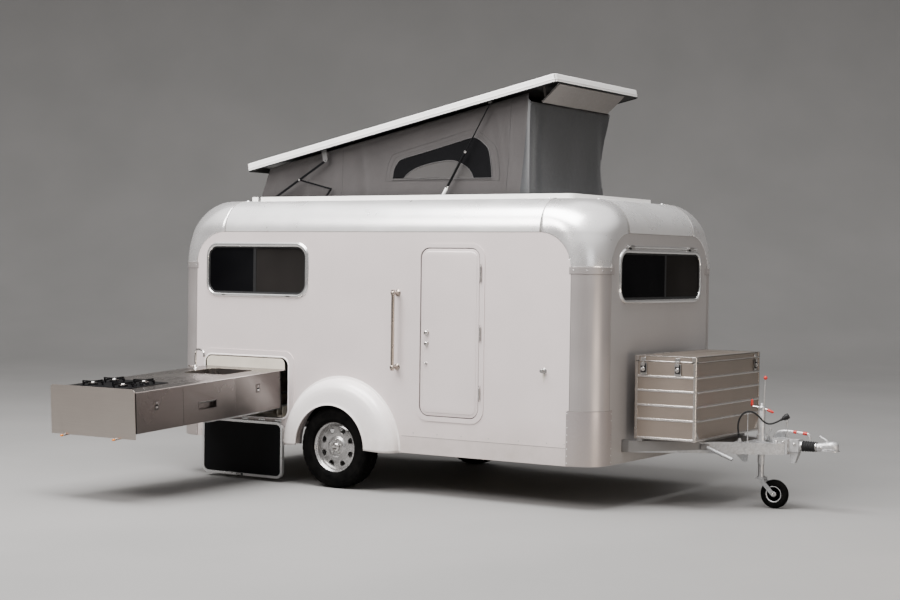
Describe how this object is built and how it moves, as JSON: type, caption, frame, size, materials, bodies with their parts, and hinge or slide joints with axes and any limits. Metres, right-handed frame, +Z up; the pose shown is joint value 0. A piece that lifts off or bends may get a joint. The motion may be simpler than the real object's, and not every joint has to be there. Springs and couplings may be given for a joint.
{
  "type": "pop-top camping trailer",
  "caption": "Compact box-shaped camping trailer with rounded aluminium corners, raised wedge roof with canvas, slide-out kitchen, drawbar box and jockey wheel.",
  "frame": {"origin": "centre of the coupling ball, on the trailer's centreline, 440 mm above the ground", "axes": "+X forwards along the drawbar, +Y to the left of the road, +Z up"},
  "size_m": [5.013, 3.7009, 2.9702],
  "materials": {
    "skin": "satin",
    "rolls": "satin",
    "white": "satin",
    "steel": "brushed",
    "galvanised": "galvanised",
    "box_aluminium": "brushed",
    "black_metal": "satin",
    "glass": "tinted",
    "tyre": "matte",
    "rim": "satin",
    "canvas": "matte",
    "black_rubber": "matte",
    "black_plastic": "matte",
    "board": "matte",
    "lamp": "gloss",
    "chrome": "polished"
  },
  "bodies": {
    "trailer": {"side_panel_right": "skin", "side_panel_left": "skin", "front_wall": "skin", "rear_wall": "skin", "roof_deck": "white", "roof_rolls": "rolls", "roof_corners": "rolls", "corner_posts": "rolls", "floor_panel": "board", "wheel_boxes": "black_plastic", "chassis_frame": "galvanised", "axle_beam": "galvanised", "axle_arms": "galvanised", "fenders": "skin", "window_frames": "chrome", "window_glass": "glass", "door_frame": "skin", "grab_handle": "chrome", "door_retainer": "chrome", "hatch_frame": "skin", "hatch_rod": "chrome", "kitchen_bay": "board", "roof_coaming": "white", "canvas": "canvas", "storage_box": "box_aluminium", "overrun_housing": "galvanised", "drawbar_bellows": "black_rubber", "coupling_head": "galvanised", "handbrake_lever": "galvanised", "jockey_clamp": "galvanised", "tail_lamps": "lamp", "connector_cable": "black_rubber", "connector_plug": "black_plastic", "cable_clips": "black_rubber"},
    "wheel_right": {"tyre_right": "tyre", "rim_right": "rim"},
    "wheel_left": {"tyre_left": "tyre", "rim_left": "rim"},
    "door": {"door_leaf": "skin", "door_furniture": "chrome"},
    "lid": {"box_lid": "box_aluminium"},
    "kitchen": {"kitchen_carcass": "steel", "worktop_and_sink": "steel", "end_plate": "steel", "tap": "chrome", "hob": "black_metal"},
    "drawer_outer": {"drawer_outer": "steel"},
    "drawer_middle": {"drawer_middle": "steel"},
    "runners": {"runner_beams": "galvanised"},
    "hatch_flap": {"hatch_flap": "skin"},
    "arms": {"rear_arms": "black_metal"},
    "braces": {"brace_links": "black_metal"},
    "cranks": {"brace_cranks": "black_metal"},
    "pop_roof": {"roof_panel": "white", "roof_front_lining": "board"},
    "strut_cylinders": {"strut_cylinders": "black_metal"},
    "strut_rods": {"strut_rods": "chrome"},
    "jockey_mast": {"jockey_mast": "galvanised"},
    "jockey_fork": {"jockey_fork": "galvanised"},
    "jockey_wheel": {"jockey_wheel": "tyre"}
  },
  "joints": [
    {"name": "wheel_right_spin", "type": "hinge", "parent": "trailer", "child": "wheel_right", "pos_m": [-3.385, -0.948, -0.142], "axis": [0, 1, 0], "continuous": true},
    {"name": "wheel_left_spin", "type": "hinge", "parent": "trailer", "child": "wheel_left", "pos_m": [-3.385, 0.948, -0.142], "axis": [0, 1, 0], "continuous": true},
    {"name": "door_hinge", "type": "hinge", "parent": "trailer", "child": "door", "pos_m": [-2.178, -0.99, 0.72], "axis": [0, 0, -1], "range_deg": [-170, 0]},
    {"name": "box_lid_hinge", "type": "hinge", "parent": "trailer", "child": "lid", "pos_m": [-0.977, 0.56, 0.557], "axis": [1, 0, 0], "range_deg": [-100, 0]},
    {"name": "kitchen_slide", "type": "slide", "parent": "trailer", "child": "kitchen", "axis": [0, 0.9987, 0.0506], "range_m": [0, 1.7], "deforming": ["tap"]},
    {"name": "drawer_outer_slide", "type": "slide", "parent": "kitchen", "child": "drawer_outer", "axis": [-1, 0, 0], "range_m": [-0.3, 0]},
    {"name": "drawer_middle_slide", "type": "slide", "parent": "kitchen", "child": "drawer_middle", "axis": [-1, 0, 0], "range_m": [-0.3, 0]},
    {"name": "runner_slide", "type": "slide", "parent": "trailer", "child": "runners", "axis": [0, 0.9987, 0.0506], "range_m": [0, 0.85]},
    {"name": "hatch_swing", "type": "hinge", "parent": "trailer", "child": "hatch_flap", "pos_m": [-4.246, -0.984, 0.024], "axis": [-1, 0, 0], "range_deg": [0, 85]},
    {"name": "roof_lift", "type": "hinge", "parent": "trailer", "child": "arms", "pos_m": [-4.47, 0, 1.591], "axis": [0, 1, 0], "range_deg": [0, 29.66], "deforming": ["canvas"]},
    {"name": "roof_panel_tilt", "type": "hinge", "parent": "arms", "child": "pop_roof", "pos_m": [-3.801, 0, 1.972], "axis": [0, 1, 0], "range_deg": [-17.76, 0]},
    {"name": "brace_link_swing", "type": "hinge", "parent": "arms", "child": "braces", "pos_m": [-4.05522, 0, 1.82722], "axis": [0, 1, 0], "range_deg": [-43.17, 0]},
    {"name": "brace_crank_swing", "type": "hinge", "parent": "trailer", "child": "cranks", "pos_m": [-3.895, 0, 1.591], "axis": [0, 1, 0], "range_deg": [0, 51.51]},
    {"name": "strut_swing", "type": "hinge", "parent": "trailer", "child": "strut_cylinders", "pos_m": [-2.806, 0, 1.596], "axis": [0, 1, 0], "range_deg": [0, 52.12]},
    {"name": "strut_stroke", "type": "slide", "parent": "strut_cylinders", "child": "strut_rods", "axis": [0.513, 0, 0.8584], "range_m": [-0.27882, 0]},
    {"name": "jockey_slide", "type": "slide", "parent": "trailer", "child": "jockey_mast", "axis": [0, 0, 1], "range_m": [0, 0.15]},
    {"name": "jockey_swivel", "type": "hinge", "parent": "jockey_mast", "child": "jockey_fork", "pos_m": [-0.506, 0, -0.04], "axis": [0, 0, 1], "continuous": true},
    {"name": "jockey_wheel_spin", "type": "hinge", "parent": "jockey_fork", "child": "jockey_wheel", "pos_m": [-0.404, 0, -0.341], "axis": [0, 1, 0], "continuous": true}
  ],
  "couplings": [
    {"joint": "runner_slide", "follows": "kitchen_slide", "ratio": 0.5},
    {"joint": "roof_panel_tilt", "follows": "roof_lift", "ratio": -0.59881},
    {"joint": "brace_link_swing", "follows": "roof_lift", "ratio": -1.4555},
    {"joint": "brace_crank_swing", "follows": "roof_lift", "ratio": 1.7365},
    {"joint": "strut_swing", "follows": "roof_lift", "ratio": 1.7572},
    {"joint": "strut_stroke", "follows": "roof_lift", "m_per_rad": -0.53856}
  ]
}
